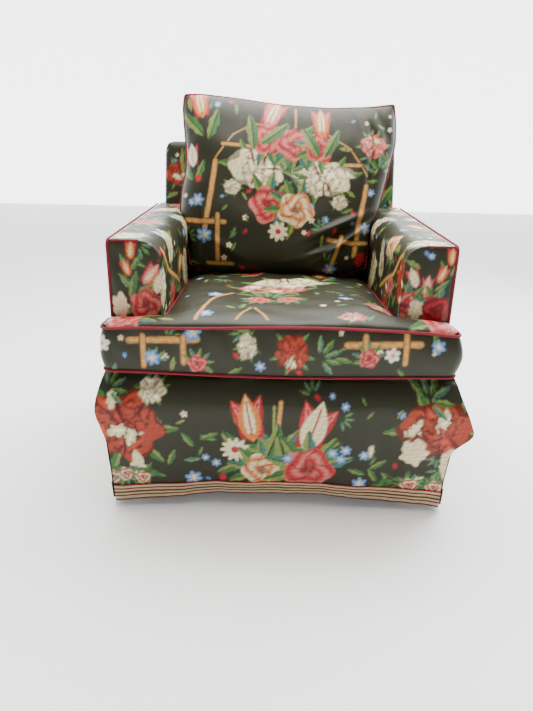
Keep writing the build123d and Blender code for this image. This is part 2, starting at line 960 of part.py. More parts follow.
# ---------------------------------------------------------------- every piece, written
def main():
    write(drilled(front_rail()), "front_rail")
    write(drilled(back_rail()), "back_rail")
    write(back_cross_rail(*top_rail_span), "back_top_rail")
    write(back_cross_rail(*lower_rail_span), "back_lower_rail")
    for side, hand in SIDES:
        write(drilled(side_rail(side)), f"side_rail_{hand}")
        write(front_leg(side), f"front_leg_{hand}")
        write(back_post(side), f"back_post_{hand}")
        write(arm_post(side), f"arm_post_{hand}")
        write(arm_top_rail(side), f"arm_top_rail_{hand}")
        write(arm_tack_rail(side), f"arm_tack_rail_{hand}")
        write(arm_padding(side), f"arm_padding_{hand}")
        write(arm_cover(side), f"arm_cover_{hand}")
        write(arm_welt(side), f"arm_welt_{hand}")
        write(skirt_side(side), f"skirt_{hand}")
        x = (side * (skirt_side_x + skirt), side * (skirt_side_x + skirt + band))
        y = (skirt_front_y + skirt + 1, skirt_back_y - 1)
        write(band_strip(x, y), f"skirt_band_{hand}")
    write(corner_blocks(), "corner_blocks")
    write(screws(), "block_screws")
    write(glides(), "leg_glides")
    write(seat_springs(), "seat_springs")
    write(seat_spring_clips(), "seat_spring_clips")
    write(back_springs(), "back_springs")
    write(back_spring_clips(), "back_spring_clips")
    write(seat_insulator(), "seat_insulator")
    write(deck_pad(), "deck_pad")
    write(deck_cover(), "deck_cover")
    write(front_edge_roll(), "front_edge_roll")
    write(back_padding(), "back_padding")
    write(back_cover(), "back_cover")
    write(back_welt(), "back_welt")
    write(skirt_front(), "skirt_front")
    write(skirt_back(), "skirt_back")
    full = (-skirt_half_width, skirt_half_width)
    write(band_strip(full, (skirt_front_y - band, skirt_front_y)), "skirt_band_front")
    rear = skirt_back_y + skirt
    write(band_strip(full, (rear, rear + band)), "skirt_band_back")
    write(pleat_inserts(), "pleat_inserts")
    write(skirt_headers(), "skirt_headers")
    write(corner_folds(), "corner_folds")
    write(dust_cover(), "dust_cover")
    write(dust_cover_staples(), "dust_cover_staples")
    write(seat_core(), "seat_core")
    write(seat_cushion_cover(), "seat_cushion_cover")
    write(seat_welt(seat_bottom + seat_boxing + 0.6), "seat_welt_top")
    write(seat_welt(seat_bottom + 10), "seat_welt_bottom")
    write(zipper_tape(SEAT_ZIP), "seat_zipper_tape")
    write(zip_slider(SEAT_ZIP_START), "seat_zip_slider")
    write(pillow_core(), "back_cushion_core")
    write(pillow_cover(), "back_cushion_cover")
    write(pillow_welt(), "back_cushion_welt")
    write(zipper_tape(PILLOW_ZIP), "back_cushion_zipper_tape")
    write(zip_slider(PILLOW_ZIP_START), "back_cushion_zip_slider")


main()
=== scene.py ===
"""Looks of the skirted club armchair: printed chintz covers, welts, striped hem, light and camera."""

from math import cos, pi, radians, sin

import bpy
import numpy as np
from mathutils import Matrix, Vector


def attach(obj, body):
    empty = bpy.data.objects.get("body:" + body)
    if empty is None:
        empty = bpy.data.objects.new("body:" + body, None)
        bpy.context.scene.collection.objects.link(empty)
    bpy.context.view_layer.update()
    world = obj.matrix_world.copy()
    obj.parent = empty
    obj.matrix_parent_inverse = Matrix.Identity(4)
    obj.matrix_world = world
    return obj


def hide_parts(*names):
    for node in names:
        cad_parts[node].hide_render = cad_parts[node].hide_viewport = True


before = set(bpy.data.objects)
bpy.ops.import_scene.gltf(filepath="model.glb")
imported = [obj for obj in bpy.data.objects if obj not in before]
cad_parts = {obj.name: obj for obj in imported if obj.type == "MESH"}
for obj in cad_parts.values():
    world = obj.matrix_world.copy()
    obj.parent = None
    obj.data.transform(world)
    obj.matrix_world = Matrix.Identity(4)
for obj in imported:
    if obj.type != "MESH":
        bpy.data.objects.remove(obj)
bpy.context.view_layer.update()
FRONT = -0.417  # plane of the seat cushion's front face
RAKE = radians(16)  # lean of the back
FOOT_Y, FOOT_Z = FRONT + 0.601, 0.345  # where the back's front face starts


# ------------------------------------------------------------------ small helpers
def smooth(x):
    x = np.clip(x, 0, 1)
    return x * x * (3 - 2 * x)


def curve(x, *pairs):
    """Smooth-ish interpolation through (position, value) pairs."""
    xs, ys = zip(*pairs)
    out = np.interp(x, xs, ys)
    step = (xs[-1] - xs[0]) * 0.03
    return (out + np.interp(x - step, xs, ys) + np.interp(x + step, xs, ys)) / 3


def bump(x, y, cx, cy, rx, ry, turn=0.0):
    """Gaussian hill, for a dent, a fold or a swelling."""
    c, s = cos(turn), sin(turn)
    u = ((x - cx) * c + (y - cy) * s) / rx
    v = (-(x - cx) * s + (y - cy) * c) / ry
    return np.exp(-(u * u + v * v))


def ripple(x, y, seed, scale):
    """Sum of a few random waves, about -1 to 1, whose length is about the scale."""
    r = np.random.default_rng(seed)
    out = 0
    for k in range(7):
        a = r.uniform(0, pi)
        f = r.uniform(0.6, 1.9) / scale
        out = out + np.sin((x * cos(a) + y * sin(a)) * f * 2 * pi + r.uniform(0, 6.3))
    return out / 3.2


def linear(s):
    """sRGB hex to linear colour."""
    c = np.array([int(s[i : i + 2], 16) / 255 for i in (0, 2, 4)])
    return np.where(c <= 0.04045, c / 12.92, ((c + 0.055) / 1.055) ** 2.4)


# ------------------------------------------------------------------ print
GROUND = linear("2c2c1d")
RED, DARKRED, PINK = linear("b0262e"), linear("64141e"), linear("cf7468")
CREAM, WHITE, TAN = linear("e2d3a8"), linear("e8e2d2"), linear("b98a4a")
ORANGE, RUSSET, BROWN = linear("d2752c"), linear("a03c26"), linear("5f3424")
BLUE, TEAL = linear("6288ba"), linear("3c7468")
GREEN, LIGHT, DARK = linear("3c6c38"), linear("86984e"), linear("1d2a1a")


class Print:
    """Colour and cover of the print at a panel's vertices, in flat centimetres."""

    def __init__(self, u, v, seed):
        self.u, self.v = u.ravel() * 100, v.ravel() * 100
        self.rgb = np.tile(GROUND, (self.u.size, 1))
        coarse, fine = ripple(self.u, self.v * 1.4, seed, 1.5), ripple(self.u, self.v, seed + 1, 0.6)
        self.grain = 1 + 0.17 * coarse + 0.10 * fine
        self.r = np.random.default_rng(seed)

    def near(self, x, y, reach):
        """Numbers of the vertices in a square about a place."""
        return np.nonzero((abs(self.u - x) < reach) & (abs(self.v - y) < reach))[0]

    def lay(self, i, cover, colour):
        """Lays a colour over the vertices i, as thick as cover says."""
        cover = np.clip(cover, 0, 1)[:, None]
        self.rgb[i] = self.rgb[i] * (1 - cover) + colour * self.grain[i][:, None] * cover

    def local(self, x, y, size, turn):
        """Nearby vertices, and where they lie in a motif that runs from -1 to 1."""
        i = self.near(x, y, size * 0.8 + 0.6)
        du, dv = self.u[i] - x, self.v[i] - y
        c, s = cos(turn), sin(turn)
        return i, (du * c + dv * s) / (size / 2), (-du * s + dv * c) / (size / 2)

    def blob(self, x, y, w, h, colour, turn=0.0, rough=0.12):
        i, p, q = self.local(x, y, max(w, h), turn)
        k = max(w, h)
        a, ang = np.hypot(p * k / w, q * k / h), np.arctan2(q, p)
        edge = 1 + rough * np.sin(5 * ang + self.r.uniform(0, 6)) + rough * 0.7 * np.sin(9 * ang + x)
        soft = 0.35 / max(min(w, h) / 2, 0.2)
        self.lay(i, (edge - a) / soft + 0.5, colour)

    def leaf(self, x, y, size, turn, colour=GREEN, vein=LIGHT):
        i, p, q = self.local(x, y, size, turn)
        half = 0.30 * (1 - p * p) * (1 + 0.15 * np.sin(9 * p))
        self.lay(i, (half - abs(q)) * size / 0.5 * 1.4 + 0.3, colour)
        self.lay(i, ((half * 0.8 - abs(q - 0.09)) * size * 1.5) * (q > 0), vein * 0.8)
        self.lay(i, (0.05 - abs(q)) * size * 2.5 * (abs(p) < 0.9), DARK)

    def spray(self, x, y, size, turn, count=5):
        for k in range(count):
            t = turn + (k - (count - 1) / 2) * 0.62
            self.leaf(x + cos(t) * size * 0.45, y + sin(t) * size * 0.45, size * 0.62, t,
                      GREEN if k % 2 else TEAL * 0.9)

    def rose(self, x, y, size, main=RED, pale=PINK):
        self.spray(x, y, size * 1.25, self.r.uniform(0, 6), 6)
        i, p, q = self.local(x, y, size, 0)
        a, ang = np.hypot(p, q), np.arctan2(q, p)
        ph = self.r.uniform(0, 6)
        edge = 1 + 0.10 * np.cos(5 * ang + ph)
        cover = (edge - a) * size / 0.7 + 0.4
        ring = 0.5 + 0.5 * np.sin(a * 11 + 1.6 * np.sin(3 * ang + ph) + ang)
        col = main[None] * (1 - ring[:, None]) + pale[None] * ring[:, None]
        deep = smooth((0.42 - a) / 0.3)[:, None]
        col = col * (1 - deep * 0.75) + DARKRED * deep * 0.75
        self.lay(i, cover, col)
        self.lay(i, (np.abs(np.sin(2.5 * ang + ph + 3 * a)) < 0.16) * (a > 0.35) * (a < 0.95) * 0.7, DARKRED)

    def tulip(self, x, y, size, turn=pi / 2, edge=RED, core=ORANGE):
        self.leaf(x - cos(turn) * size * 0.55 - size * 0.3, y - sin(turn) * size * 0.55, size, turn + 0.5)
        self.leaf(x - cos(turn) * size * 0.55 + size * 0.3, y - sin(turn) * size * 0.55, size, turn - 0.5)
        for lean, col in ((0.5, edge), (-0.5, edge * 0.8), (0.0, core)):
            t = turn + lean
            i, p, q = self.local(x + cos(t) * size * 0.1, y + sin(t) * size * 0.1, size, t)
            half = 0.42 * (1 - p * p) * (1 - 0.25 * p)
            self.lay(i, (half - abs(q)) * size * 1.4 + 0.3, col)
            self.lay(i, (half * 0.55 - abs(q)) * size * 1.2 * (p > -0.6), CREAM if lean == 0 else PINK)
            self.lay(i, (0.05 - abs(q)) * size * 2.2 * (p > -0.7) * (p < 0.7), edge)

    def daisy(self, x, y, size, col=BLUE, heart=CREAM, petals=6):
        i, p, q = self.local(x, y, size, self.r.uniform(0, 6))
        a, ang = np.hypot(p, q), np.arctan2(q, p)
        edge = 0.62 + 0.38 * np.abs(np.cos(petals * ang / 2))
        self.lay(i, (edge - a) * size / 0.6 + 0.3, col)
        self.lay(i, (edge - a - 0.3) * size / 0.8, col * 0.5 + WHITE * 0.5)
        self.lay(i, (0.28 - a) * size / 0.5 + 0.3, heart)

    def stick(self, points, width=0.7, colour=TAN):
        for wide, tone in ((width * 1.4, BROWN * 0.6), (width, colour), (width * 0.4, colour * 1.3)):
            for (x0, y0), (x1, y1) in zip(points[:-1], points[1:]):
                n = max(2, int(np.hypot(x1 - x0, y1 - y0) / 0.3))
                for t in np.linspace(0, 1, n):
                    self.blob(x0 + (x1 - x0) * t, y0 + (y1 - y0) * t, wide, wide, tone, rough=0)

    def mass(self, x, y, w, h, colour, turn=0.0):
        """A big loose blossom: overlapping outlined petals, some of them pale, over leaves."""
        size = (w + h) / 2
        for k in range(6):
            t = turn + k * 1.05 + self.r.uniform(-0.3, 0.3)
            self.leaf(x + cos(t) * w * 0.55, y + sin(t) * h * 0.55, size * 0.42, t)
        self.blob(x, y, w, h, colour * 0.35, turn, 0.1)
        self.blob(x, y, w * 0.95, h * 0.94, colour, turn, 0.1)
        for k in range(15):
            t, d = self.r.uniform(0, 6.3), self.r.uniform(0.12, 0.40)
            px, py = x + cos(t) * w * d, y + sin(t) * h * d
            lean = self.r.uniform(0, 3)
            pale = k % 5 == 4
            tone = CREAM * 0.95 if pale else np.clip(colour * self.r.uniform(0.7, 1.35), 0, 1)
            long, wide = size * self.r.uniform(0.26, 0.4), size * self.r.uniform(0.12, 0.2)
            self.blob(px, py, long * 1.12, wide * 1.3, colour * 0.28, lean, 0.15)
            self.blob(px, py, long, wide, tone, lean, 0.15)
            self.blob(px + 0.2, py + 0.2, long * 0.55, wide * 0.35, np.clip(tone * 1.35, 0, 1), lean, 0.1)
        for k in range(4):
            t = self.r.uniform(0, 6.3)
            px, py = x + cos(t) * w * 0.32, y + sin(t) * h * 0.32
            self.blob(px, py, size * 0.3, size * 0.05, DARKRED * 0.7, t, 0.3)

    def scatter(self, x0, x1, y0, y1, count):
        """Small filler leaves, petals and buds."""
        for k in range(count):
            x, y = self.r.uniform(x0, x1), self.r.uniform(y0, y1)
            pick = self.r.integers(0, 9)
            if pick < 4:
                tone = (GREEN, TEAL, LIGHT * 0.8, GREEN)[pick]
                self.leaf(x, y, self.r.uniform(2.2, 4.5), self.r.uniform(0, 6.3), tone)
            elif pick == 4:
                self.daisy(x, y, self.r.uniform(1.6, 3.0))
            elif pick == 5:
                self.daisy(x, y, self.r.uniform(1.2, 2.0), CREAM, ORANGE, 5)
            elif pick == 6:
                self.blob(x, y, 1.6, 1.0, RED, self.r.uniform(0, 3))
            elif pick == 7:
                self.spray(x, y, 4.5, self.r.uniform(0, 6.3), 4)
            else:
                self.blob(x, y, 1.2, 0.8, BLUE, self.r.uniform(0, 3))

    def bouquets(self, x0, x1, y0, y1, step=13.0):
        """A seeded arrangement of the same motifs for panels that are seldom seen."""
        self.scatter(x0, x1, y0, y1, int((x1 - x0) * (y1 - y0) / 22))
        y = y0 + 4
        row = 0
        while y < y1:
            x = x0 + 4 + (row % 2) * step / 2
            while x < x1:
                jx, jy = self.r.uniform(-2, 2, 2)
                kind = self.r.integers(0, 5)
                if kind == 0:
                    self.rose(x + jx, y + jy, self.r.uniform(6, 8.5))
                elif kind == 1:
                    self.tulip(x + jx, y + jy, self.r.uniform(7, 9), pi / 2 + self.r.uniform(-0.5, 0.5))
                elif kind == 2:
                    self.rose(x + jx, y + jy, self.r.uniform(5, 7), ORANGE, CREAM)
                elif kind == 3:
                    self.mass(x + jx, y + jy, 9, 6, CREAM)
                    self.daisy(x + jx + 4, y + jy - 3, 3.5)
                else:
                    self.mass(x + jx, y + jy, 10, 7, RUSSET)
                    self.rose(x + jx + 4, y + jy - 4, 4.5)
                x += step
            y += step * 0.75
            row += 1


# ------------------------------------------------------------------ meshes
def mesh(name, grids, material, body, paint=None):
    """One object from point grids, each (rows, columns, 3), with the print as a vertex colour."""
    verts, faces, colours, start = [], [], [], 0
    for n, grid in enumerate(grids):
        rows, cols = grid.shape[:2]
        k = start + np.arange(rows * cols).reshape(rows, cols)
        verts.append(grid.reshape(-1, 3))
        faces.append(np.stack([k[:-1, :-1], k[:-1, 1:], k[1:, 1:], k[1:, :-1]], -1).reshape(-1, 4))
        colours.append(paint[n].rgb if paint else np.tile(GROUND, (rows * cols, 1)))
        start += rows * cols
    verts, faces, colours = np.concatenate(verts), np.concatenate(faces), np.concatenate(colours)
    data = bpy.data.meshes.new(name)
    data.from_pydata(verts.tolist(), [], faces.tolist())
    if paint:
        layer = data.color_attributes.new("print", "FLOAT_COLOR", "POINT")
        layer.data.foreach_set("color", np.c_[colours, np.ones(len(colours))].ravel())
    data.materials.append(material)
    data.shade_smooth()
    piece = bpy.data.objects.new(name, data)
    bpy.context.scene.collection.objects.link(piece)
    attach(piece, body)
    return piece


def tube(points, radius, sides=8, closed=False):
    """Point grid of a round cord along a path."""
    p = np.asarray(points, float)
    if closed:
        t = np.roll(p, -1, 0) - np.roll(p, 1, 0)
    else:
        t = np.gradient(p, axis=0)
    t /= np.linalg.norm(t, axis=1)[:, None] + 1e-12
    up = np.array([0.13, 0.21, 0.97])
    a = np.cross(t, up)
    a /= np.linalg.norm(a, axis=1)[:, None] + 1e-12
    b = np.cross(t, a)
    ang = np.linspace(0, 2 * pi, sides + 1)
    turn_a, turn_b = np.cos(ang)[None, :, None], np.sin(ang)[None, :, None]
    ring = p[:, None] + radius * (turn_a * a[:, None] + turn_b * b[:, None])
    return np.concatenate([ring, ring[:1]]) if closed else ring


def dress(node, material):
    """Gives a CAD node the material it shows through a gap."""
    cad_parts[node].data.materials.clear()
    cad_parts[node].data.materials.append(material)


# ------------------------------------------------------------------ materials
def cloth(name, colour=None, rough=0.5, coat=0.0, weave=1400.0, strength=0.12):
    """Cloth with a fine weave and broad, shallow creases. Without a colour it shows the print."""
    m = bpy.data.materials.new(name)
    m.use_nodes = True
    n, link = m.node_tree.nodes, m.node_tree.links
    shader = n["Principled BSDF"]
    shader.inputs["Roughness"].default_value = rough
    shader.inputs["Coat Weight"].default_value = coat
    shader.inputs["Coat Roughness"].default_value = 0.38
    shader.inputs["Specular IOR Level"].default_value = 0.2
    coord = n.new("ShaderNodeTexCoord")
    noise = n.new("ShaderNodeTexNoise")
    noise.inputs["Scale"].default_value = weave
    link.new(coord.outputs["Object"], noise.inputs["Vector"])
    wrinkle = n.new("ShaderNodeTexNoise")
    wrinkle.inputs["Scale"].default_value = 26.0
    wrinkle.inputs["Detail"].default_value = 4.0
    link.new(coord.outputs["Object"], wrinkle.inputs["Vector"])
    fine = n.new("ShaderNodeBump")
    fine.inputs["Strength"].default_value = strength
    fine.inputs["Distance"].default_value = 0.0006
    link.new(noise.outputs["Fac"], fine.inputs["Height"])
    broad = n.new("ShaderNodeBump")
    broad.inputs["Strength"].default_value = 0.35
    broad.inputs["Distance"].default_value = 0.004
    link.new(wrinkle.outputs["Fac"], broad.inputs["Height"])
    link.new(fine.outputs["Normal"], broad.inputs["Normal"])
    link.new(broad.outputs["Normal"], shader.inputs["Normal"])
    if colour is None:
        paint = n.new("ShaderNodeAttribute")
        paint.attribute_name = "print"
        link.new(paint.outputs["Color"], shader.inputs["Base Color"])
    else:
        shader.inputs["Base Color"].default_value = (*colour, 1)
    return m


CHINTZ = cloth("chintz", rough=0.46, coat=0.10)
WELT = cloth("welt", linear("7a1f2b"), rough=0.7, strength=0.3)
# Near-black lining cloth for the dust cover, deck cover and insulator; on the pleat inserts the same
# near-black is painted shade for the skirt's dark corner slits.
DARK_LINING_AND_SLIT_SHADE = cloth("lining", (0.008, 0.008, 0.007), rough=0.9)
TICKING = cloth("ticking", rough=0.7)


# ------------------------------------------------------------------ seat cushion
# The T's half widths at its ears and between the arms, the ears' depth and the whole depth.
HALF, NECK, EAR, DEPTH = 0.396, 0.268, 0.082, 0.594
CORNER = 0.024
WELT_Z, LOW_Z, UNDER_Z = 0.457, 0.3585, 0.358  # the two seams and the underside's edge


def rounded(x, y, half, y0, y1, r):
    """Moves a rectangle's grid so that its four corners are round."""
    a = np.clip((abs(x) - (half - r)) / r, 0, 1)
    lo = np.clip(((y0 + r) - y) / r, 0, 1)
    hi = np.clip((y - (y1 - r)) / r, 0, 1)
    b = np.maximum(lo, hi)
    na, nb = a * np.sqrt(1 - b * b / 2), b * np.sqrt(1 - a * a / 2)
    x = np.where(a > 0, np.sign(x) * (half - r + r * na), x)
    y = np.where(lo > 0, y0 + r - r * nb, np.where(hi > 0, y1 - r + r * nb, y))
    return x, y


def welt_rise(x, y):
    """The cushion's seams aren't level: they lift a little mid-front and sag at the ears."""
    lift, wave = 0.008 * np.exp(-((x / 0.26) ** 2)), 0.0025 * np.sin(9 * x + 4 * y)
    return lift + wave - 0.004 * smooth((abs(x) - 0.3) / 0.1)


def seat_rows(top):
    """Two grids that share an edge: the strip across the ears and the part between the arms."""
    grids = []
    xs = np.linspace(-HALF, HALF, 265)
    ys = np.linspace(0, EAR, 28)
    x, y = np.meshgrid(xs, ys)
    x, y = rounded(x, y, HALF, 0, 0.2, CORNER)
    grids.append((x, y))
    xs = np.linspace(-NECK, NECK, 180)
    ys = np.linspace(EAR, DEPTH, 172)
    x, y = np.meshgrid(xs, ys)
    x, y = rounded(x, y, NECK, -0.3, DEPTH, CORNER)
    grids.append((x, y))
    out = []
    for x, y in grids:
        wide = np.minimum(np.minimum(HALF - abs(x), y), np.where(abs(x) < NECK, 9, EAR - y))
        inner = np.where(y > EAR, np.minimum(NECK - abs(x), DEPTH - y), wide)
        notch = np.hypot(np.maximum(NECK - abs(x), 0), np.maximum(EAR - y, 0))
        strip = np.where(abs(x) < NECK, np.minimum(y, notch + 0.003), wide)
        d = np.where(y > EAR, np.minimum(inner, y), strip)  # distance in from the seam
        puff = np.sqrt(1 - (1 - np.clip(d / 0.10, 0, 1)) ** 2)
        if top:
            z = WELT_Z + welt_rise(x, y) + 0.026 * puff
            z = z + 0.006 * puff * ripple(x, y, 3, 0.34) + 0.0016 * puff * ripple(x, y, 4, 0.12)
            z = z - 0.007 * bump(x, y, 0.02, 0.30, 0.16, 0.12)
        else:
            z = UNDER_Z - 0.010 * puff
        out.append(np.stack([x, y + FRONT, z], -1))
    return out


def seat_path(count=900):
    """Closed T outline with round corners, and its length along."""
    pts = [(-HALF, 0), (HALF, 0), (HALF, EAR), (NECK, EAR),
           (NECK, DEPTH), (-NECK, DEPTH), (-NECK, EAR), (-HALF, EAR)]
    radii = [CORNER, CORNER, 0.010, 0.006, CORNER, CORNER, 0.006, 0.010]
    path = []
    for k, (x, y) in enumerate(pts):
        a, b = np.array(pts[k - 1], float), np.array(pts[(k + 1) % 8], float)
        p = np.array([x, y], float)
        da, db = (a - p) / np.linalg.norm(a - p), (b - p) / np.linalg.norm(b - p)
        for t in np.linspace(0, 1, 9):
            path.append(p + radii[k] * (da * (1 - t) ** 2 + db * t**2))
    path = np.array(path + [path[0]])
    s = np.r_[0, np.cumsum(np.linalg.norm(np.diff(path, axis=0), axis=1))]
    at = np.linspace(0, s[-1], count)
    return np.stack([np.interp(at, s, path[:, 0]), np.interp(at, s, path[:, 1])], -1), at


path, along = seat_path()
tangent = np.gradient(path, axis=0)
normal = np.stack([tangent[:, 1], -tangent[:, 0]], -1)
normal /= np.linalg.norm(normal, axis=1)[:, None]
h = np.linspace(0, 1, 34)[:, None]
rise = welt_rise(path[:, 0], path[:, 1])[None]
swell = 0.012 * np.sin(pi * h) ** 0.8 * (0.7 + 0.4 * ripple(path[:, 0], path[:, 1], 5, 0.3)[None])
swell = swell * np.where(path[:, 1] > 0.1, 0.15, 1.0)[None]
by_ear = np.exp(-(((path[None, :, 1] - 0.04) / 0.05) ** 2))
swell = swell + 0.003 * np.sin(along[None] * 85 + 4 * h) * by_ear * np.sin(pi * h)  # small gathers
low = LOW_Z - 0.010 * np.exp(-((path[:, 0] / 0.3) ** 2)) * (path[:, 1] < 0.05)
boxing = np.stack(
    [path[None, :, 0] + normal[None, :, 0] * swell,
     path[None, :, 1] + FRONT + normal[None, :, 1] * swell,
     low[None] + (WELT_Z + rise - low[None]) * h + 0 * swell], -1)
MID_FRONT = 0.397  # length along the seam to the middle of the front

tops = seat_rows(True)
paints = []
for g in tops:
    p = Print(g[..., 0], g[..., 1] - FRONT, 11)
    p.scatter(-39, 39, 1, 58, 64)
    p.mass(-2, 30, 18, 9, PINK)
    p.mass(3, 36, 20, 8, CREAM)
    p.spray(-3, 20, 12, 1.2, 6)
    for x in (-5, 2):
        p.rose(x, 16, 5.5, RED, PINK)
    p.daisy(-16, 20, 4.5)
    p.daisy(-17, 5, 4.0)
    p.daisy(16, 16, 4.2)
    p.stick([(-19, 2), (-17, 14), (-12, 24)])
    p.stick([(-10, 2), (-7, 9)], 0.5)
    p.stick([(-3, 2), (-6, 9)], 0.5)
    p.mass(24, 12, 7, 6, PINK)
    p.mass(16, 3, 6, 3, PINK)
    p.leaf(-28, 6, 6, 0.4)
    p.leaf(29, 6, 6, 2.6)
    p.rose(-35, 4, 8.5, RED, PINK)
    p.rose(36, 4, 9.5, RED, PINK)
    p.rose(-8, 48, 8)
    p.tulip(12, 47, 9)
    paints.append(p)
p = Print(np.broadcast_to(along[None] - MID_FRONT, boxing.shape[:2]), boxing[..., 2], 12)
p.bouquets(44, 270, 35, 46, 12)
p.scatter(-39, 39, 36, 46, 26)
p.daisy(-38, 42, 4, WHITE, ORANGE)
p.stick([(-32, 43), (-17, 43.5)], 1.3)
p.stick([(-29, 44), (-29, 37)], 1.1)
p.stick([(-20, 44), (-20, 38)], 1.1)
p.daisy(-27, 39, 4)
p.daisy(-18, 45, 4.2)
p.rose(-17, 38, 4.2)
p.mass(4, 41, 7, 8, RUSSET)
p.mass(-6, 42, 4, 6, CREAM)
p.spray(10, 40, 7, 0.3, 5)
p.stick([(16, 43), (32, 43.5)], 1.3)
p.stick([(20, 45), (20, 40)], 1.1)
p.stick([(29, 46), (29, 39)], 1.1)
p.rose(21, 40, 4.4)
p.daisy(26, 41, 3.6, WHITE, ORANGE)
p.daisy(36, 43, 3.4)
paints.append(p)
under = seat_rows(False)
for g in under:
    p = Print(g[..., 0], g[..., 1] - FRONT, 13)
    p.bouquets(-40, 40, 0, 60)
    paints.append(p)
seat = mesh("seat_cushion_visual", tops + [boxing] + under, CHINTZ, "seat_cushion", paints)
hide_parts("seat_core", "seat_cushion_cover")

for name, level, node in (("top", WELT_Z + rise[0], "seat_welt_top"), ("bottom", low, "seat_welt_bottom")):
    line = np.c_[path + normal * 0.0022, level]
    line[:, 1] += FRONT
    cord = mesh(f"seat_welt_{name}_visual", [tube(line[:-1], 0.0034, closed=True)], WELT, "seat_cushion")
    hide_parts(node)

# ------------------------------------------------------------------ back cushion
u, v = np.meshgrid(np.linspace(-1, 1, 225), np.linspace(0, 1, 185))
left = curve(v, (0, -0.268), (0.14, -0.272), (0.32, -0.300), (0.45, -0.296), (0.58, -0.283),
             (0.68, -0.283), (0.84, -0.292), (0.95, -0.296), (1, -0.290))
right = curve(v, (0, 0.262), (0.2, 0.270), (0.43, 0.302), (0.6, 0.322), (0.77, 0.343),
              (0.9, 0.342), (1, 0.336))
top_z = curve(u, (-1, 0.990), (-0.85, 0.992), (-0.5, 0.982), (-0.1, 0.967), (0.4, 0.960),
              (0.8, 0.966), (1, 0.975))
px = left + (right - left) * (u + 1) / 2
BOTTOM_Z = 0.487
pz = BOTTOM_Z + (top_z - BOTTOM_Z) * v
pz = pz + 0.022 * smooth((abs(u) - 0.75) / 0.25) * (1 - v) ** 6
py = FRONT + 0.505 + 0.155 * v
# How far the front stands out: full in the middle, nothing at the seam.
full = ((1 - abs(u) ** 3.2) * (1 - abs(2 * v - 1) ** 3.0)).clip(0) ** 0.52
folds = (  # height, middle across and up, half sizes across and up, turn
    (0.016, 0.62, 0.30, 0.30, 0.025, 0.25), (0.016, 0.70, 0.20, 0.26, 0.022, 0.4),
    (-0.018, 0.66, 0.25, 0.28, 0.02, 0.32), (0.006, -0.6, 0.16, 0.3, 0.03, -0.3),
    (-0.014, 0.86, 0.90, 0.03, 0.12, 0.5), (0.008, 0.78, 0.88, 0.03, 0.12, 0.5),
    (-0.024, 0.80, 0.70, 0.035, 0.24, 0.16), (0.012, 0.70, 0.72, 0.05, 0.22, 0.16),
    (-0.014, -0.80, 0.25, 0.03, 0.2, -0.25), (0.010, 0.35, 0.12, 0.24, 0.02, 0.15),
    (-0.010, -0.84, 0.90, 0.03, 0.12, -0.5),
)
wrinkles = sum(height * bump(u, v, *place) for height, *place in folds)
for k in range(9):
    x = -0.85 + k * 0.21
    wrinkles = wrinkles + 0.0035 * bump(u, v, x, 0.93, 0.022, 0.07, 0.1 * (k - 4)) * (1 if k % 2 else -1)
wrinkles = wrinkles + 0.006 * ripple(u, v, 21, 1.1) + 0.0022 * ripple(u, v * 1.6, 24, 0.42)
thick_front = 0.098 * full * (1.08 - 0.25 * v) + full * wrinkles
front_z = pz + thick_front * sin(RAKE) * 0.6 - 0.006 * full * (1 - v)
front = np.stack([px, py - thick_front * cos(RAKE), front_z], -1)
plump = ((1 - abs(u) ** 6) * (1 - abs(2 * v - 1) ** 5)).clip(0) ** 0.42
bz = pz - 0.012 * plump
rest = FOOT_Y + (bz - FOOT_Z) * np.tan(RAKE) - 0.0135 / cos(RAKE)  # pressed flat on the padded back
back_y = py + 0.135 * plump + 0.002 * ripple(px, pz, 23, 0.3) * plump
back = np.stack([px, np.minimum(back_y, rest), bz], -1)
p = Print(px, v * 0.52, 31)
p.scatter(-30, 33, 1, 51, 84)
p.stick([(-19, 32), (-20, 24), (-22, 12)], 1.4)
p.stick([(-28, 15), (-16, 15)], 1.2)
p.stick([(-18, 17), (-18, 4)], 1.2)
p.stick([(-21, 3), (-14, 3)], 1.1)
p.stick([(-19, 33), (-14, 40), (-8, 44), (0, 43)], 0.4)
p.stick([(6, 42), (14, 42), (20, 38), (25, 30)], 0.4)
p.stick([(-17, 37), (-2, 37)], 0.9)
p.stick([(6, 34), (23, 33)], 0.9)
p.stick([(25, 27), (23, 16), (22, 6)], 1.4)
p.stick([(14, 11), (27, 9)], 1.2)
p.stick([(18, 12), (15, 2)], 1.1)
p.mass(-7, 31, 16, 11, CREAM)
p.mass(12, 29, 17, 10, CREAM)
p.mass(-14, 25, 4.5, 4, CREAM)
p.mass(17, 22, 4.5, 4, CREAM)
p.spray(2, 30, 8, 0.8, 6)
for x, y, s in ((-4.5, 39.5, 9), (3.5, 38.5, 9.5), (11, 38, 8.5)):
    p.rose(x, y, s)
p.rose(-3.5, 20.5, 10.5)
p.rose(4.5, 19.5, 10, ORANGE, CREAM)
p.daisy(-0.5, 13, 6, CREAM, RED, 9)
p.tulip(-24, 48, 10, 1.8)
p.tulip(-3, 47, 11, 1.2, RED, PINK)
p.tulip(11.5, 45, 10, 1.6)
p.stick([(4, 50), (4, 44)], 0.6)
p.daisy(-22, 11, 5)
p.daisy(15, 1.8, 4.5)
p.daisy(-24, 21, 4)
p.daisy(25, 14, 4)
p.mass(27, 39, 8, 7, PINK)
p.spray(29, 31, 8, 1.5, 5)
p.tulip(-26, 33, 7, 1.7, RED, WHITE)
p.blob(24, 4, 3, 5, RED)
p.blob(-24, 27, 2, 2, RED)
q = Print(px, v * 0.52, 32)
q.bouquets(-34, 36, 0, 53)
pillow = mesh("back_cushion_visual", [front, back], CHINTZ, "back_cushion", [p, q])
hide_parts("back_cushion_core", "back_cushion_cover")
edge = np.concatenate([front[:-1, 0], front[-1, :-1], front[:0:-1, -1], front[0, :0:-1]])
